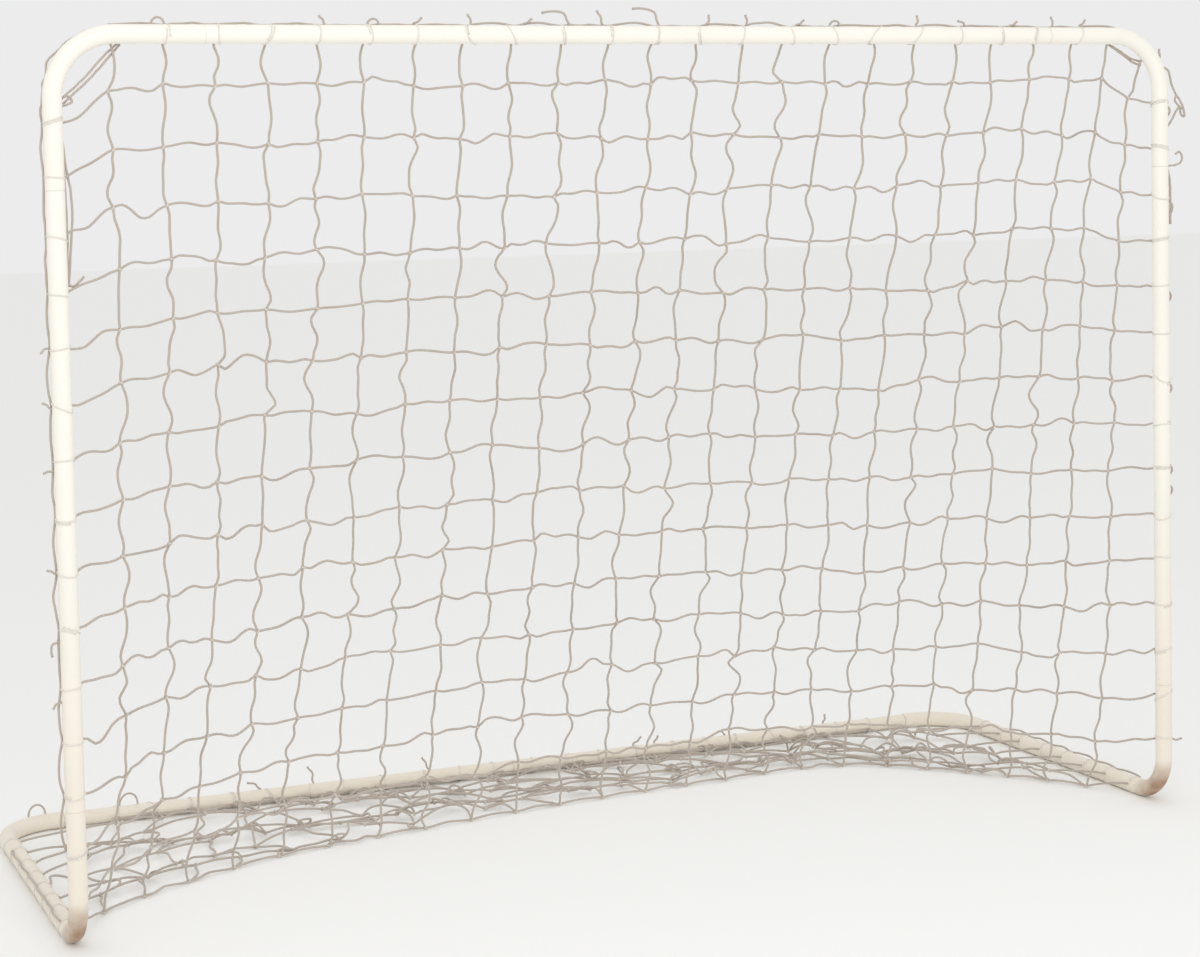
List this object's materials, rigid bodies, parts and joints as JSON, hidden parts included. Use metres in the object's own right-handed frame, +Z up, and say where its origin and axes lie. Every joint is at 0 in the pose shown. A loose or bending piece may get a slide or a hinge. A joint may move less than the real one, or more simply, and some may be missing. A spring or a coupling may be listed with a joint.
{
  "type": "soccer goal frame",
  "caption": "Free-standing backyard soccer goal: round steel tube frame that plugs together with spring-button locks, with a laced square-mesh net.",
  "frame": {"origin": "on the ground, in the middle of the footprint", "axes": "+X along the crossbar to the right as seen from the field, +Y from the goal mouth to the back, +Z up"},
  "size_m": [2.1686, 0.8565, 1.5243],
  "materials": {
    "powder_coated_steel": "cream powder coat, slightly yellowed and soiled towards the ground",
    "zinc_plated_button": "zinc-plated steel",
    "spring_steel": "plain rolled spring steel",
    "net_twine": "knotted polyethylene twine, beige grey",
    "lashing_twine": "pale polyethylene lacing twine"
  },
  "bodies": {
    "frame": {"top_corner_left": "powder_coated_steel", "top_corner_right": "powder_coated_steel", "crossbar_left": "powder_coated_steel", "crossbar_right": "powder_coated_steel", "post_left": "powder_coated_steel", "post_right": "powder_coated_steel", "front_foot_left": "powder_coated_steel", "front_foot_right": "powder_coated_steel", "rear_corner_left": "powder_coated_steel", "rear_corner_right": "powder_coated_steel", "rear_rail_left": "powder_coated_steel", "rear_rail_right": "powder_coated_steel", "spring_bar_left": "spring_steel", "spring_bar_middle": "spring_steel", "spring_bar_right": "spring_steel", "spring_post_left_top": "spring_steel", "spring_post_right_top": "spring_steel", "spring_post_left_foot": "spring_steel", "spring_post_right_foot": "spring_steel", "spring_side_left": "spring_steel", "spring_side_right": "spring_steel", "spring_rail_left": "spring_steel", "spring_rail_middle": "spring_steel", "spring_rail_right": "spring_steel", "net_back": "net_twine", "net_side_left": "net_twine", "net_side_right": "net_twine", "net_floor": "net_twine", "lashing_crossbar": "lashing_twine", "lashing_post_left": "lashing_twine", "lashing_post_right": "lashing_twine", "lashing_side_left": "lashing_twine", "lashing_side_right": "lashing_twine", "lashing_rail": "lashing_twine"},
    "lock_bar_left": {"button_bar_left": "zinc_plated_button"},
    "lock_bar_middle": {"button_bar_middle": "zinc_plated_button"},
    "lock_bar_right": {"button_bar_right": "zinc_plated_button"},
    "lock_post_left_top": {"button_post_left_top": "zinc_plated_button"},
    "lock_post_right_top": {"button_post_right_top": "zinc_plated_button"},
    "lock_post_left_foot": {"button_post_left_foot": "zinc_plated_button"},
    "lock_post_right_foot": {"button_post_right_foot": "zinc_plated_button"},
    "lock_side_left": {"button_side_left": "zinc_plated_button"},
    "lock_side_right": {"button_side_right": "zinc_plated_button"},
    "lock_rail_left": {"button_rail_left": "zinc_plated_button"},
    "lock_rail_middle": {"button_rail_middle": "zinc_plated_button"},
    "lock_rail_right": {"button_rail_right": "zinc_plated_button"}
  },
  "joints": [
    {"name": "press_bar_left", "type": "slide", "parent": "frame", "child": "lock_bar_left", "axis": [0, -1, 0], "range_m": [0, 0.0044], "stiffness_N_per_m": 900, "springref_m": -0.002, "deforming": ["spring_bar_left"]},
    {"name": "press_bar_middle", "type": "slide", "parent": "frame", "child": "lock_bar_middle", "axis": [0, -1, 0], "range_m": [0, 0.0044], "stiffness_N_per_m": 900, "springref_m": -0.002, "deforming": ["spring_bar_middle"]},
    {"name": "press_bar_right", "type": "slide", "parent": "frame", "child": "lock_bar_right", "axis": [0, -1, 0], "range_m": [0, 0.0044], "stiffness_N_per_m": 900, "springref_m": -0.002, "deforming": ["spring_bar_right"]},
    {"name": "press_post_left_top", "type": "slide", "parent": "frame", "child": "lock_post_left_top", "axis": [0, -1, 0], "range_m": [0, 0.0044], "stiffness_N_per_m": 900, "springref_m": -0.002, "deforming": ["spring_post_left_top"]},
    {"name": "press_post_right_top", "type": "slide", "parent": "frame", "child": "lock_post_right_top", "axis": [0, -1, 0], "range_m": [0, 0.0044], "stiffness_N_per_m": 900, "springref_m": -0.002, "deforming": ["spring_post_right_top"]},
    {"name": "press_post_left_foot", "type": "slide", "parent": "frame", "child": "lock_post_left_foot", "axis": [0, -1, 0], "range_m": [0, 0.0044], "stiffness_N_per_m": 900, "springref_m": -0.002, "deforming": ["spring_post_left_foot"]},
    {"name": "press_post_right_foot", "type": "slide", "parent": "frame", "child": "lock_post_right_foot", "axis": [0, -1, 0], "range_m": [0, 0.0044], "stiffness_N_per_m": 900, "springref_m": -0.002, "deforming": ["spring_post_right_foot"]},
    {"name": "press_side_left", "type": "slide", "parent": "frame", "child": "lock_side_left", "axis": [-1, 0, 0], "range_m": [0, 0.0044], "stiffness_N_per_m": 900, "springref_m": -0.002, "deforming": ["spring_side_left"]},
    {"name": "press_side_right", "type": "slide", "parent": "frame", "child": "lock_side_right", "axis": [-1, 0, 0], "range_m": [0, 0.0044], "stiffness_N_per_m": 900, "springref_m": -0.002, "deforming": ["spring_side_right"]},
    {"name": "press_rail_left", "type": "slide", "parent": "frame", "child": "lock_rail_left", "axis": [0, -1, 0], "range_m": [0, 0.0044], "stiffness_N_per_m": 900, "springref_m": -0.002, "deforming": ["spring_rail_left"]},
    {"name": "press_rail_middle", "type": "slide", "parent": "frame", "child": "lock_rail_middle", "axis": [0, -1, 0], "range_m": [0, 0.0044], "stiffness_N_per_m": 900, "springref_m": -0.002, "deforming": ["spring_rail_middle"]},
    {"name": "press_rail_right", "type": "slide", "parent": "frame", "child": "lock_rail_right", "axis": [0, -1, 0], "range_m": [0, 0.0044], "stiffness_N_per_m": 900, "springref_m": -0.002, "deforming": ["spring_rail_right"]}
  ]
}
